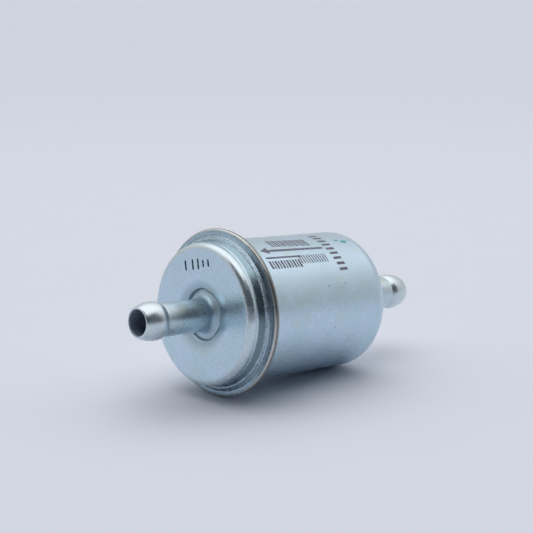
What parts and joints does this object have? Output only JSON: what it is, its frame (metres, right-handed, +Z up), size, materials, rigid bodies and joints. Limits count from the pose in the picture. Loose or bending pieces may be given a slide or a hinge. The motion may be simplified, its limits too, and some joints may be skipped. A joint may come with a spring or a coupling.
{
  "type": "inline fuel filter",
  "caption": "Sealed steel can with a beaded hose spigot at each end, a crimped lid and a spring-loaded pleated paper element inside.",
  "frame": {"origin": "on the flow axis, midway between the tips of the two spigots", "axes": "+X along the flow, from the inlet spigot at -X to the outlet spigot at +X; +Z up as the part lies on its side"},
  "size_m": [0.09, 0.0404, 0.0404],
  "materials": {
    "plated_steel": "satin zinc plate with a pale blue chromate",
    "bright_plated_tube": "bright zinc plate, drawn smooth",
    "braze": "copper braze",
    "sealing_rubber": "fuel-proof rubber",
    "cap_steel": "tin plate",
    "adhesive": "cured plastisol",
    "filter_paper": "resin-stiffened paper",
    "spring_steel": "oiled spring wire"
  },
  "bodies": {
    "housing": {"can": "plated_steel", "lid": "plated_steel", "outlet_spigot": "bright_plated_tube", "inlet_spigot": "bright_plated_tube", "outlet_braze": "braze", "inlet_braze": "braze", "seam_gasket": "sealing_rubber", "element_spring": "spring_steel"},
    "element": {"element_outlet_cap": "cap_steel", "element_inlet_cap": "cap_steel", "outlet_potting": "adhesive", "inlet_potting": "adhesive", "pleated_media": "filter_paper", "media_seam_clip": "cap_steel", "core_tube": "cap_steel", "outlet_grommet": "sealing_rubber"}
  },
  "joints": [
    {"name": "element_slide", "type": "slide", "parent": "housing", "child": "element", "axis": [-1, 0, 0], "range_m": [0, 0.0015], "stiffness_N_per_m": 700, "springref_m": -0.006, "deforming": ["element_spring"]}
  ]
}
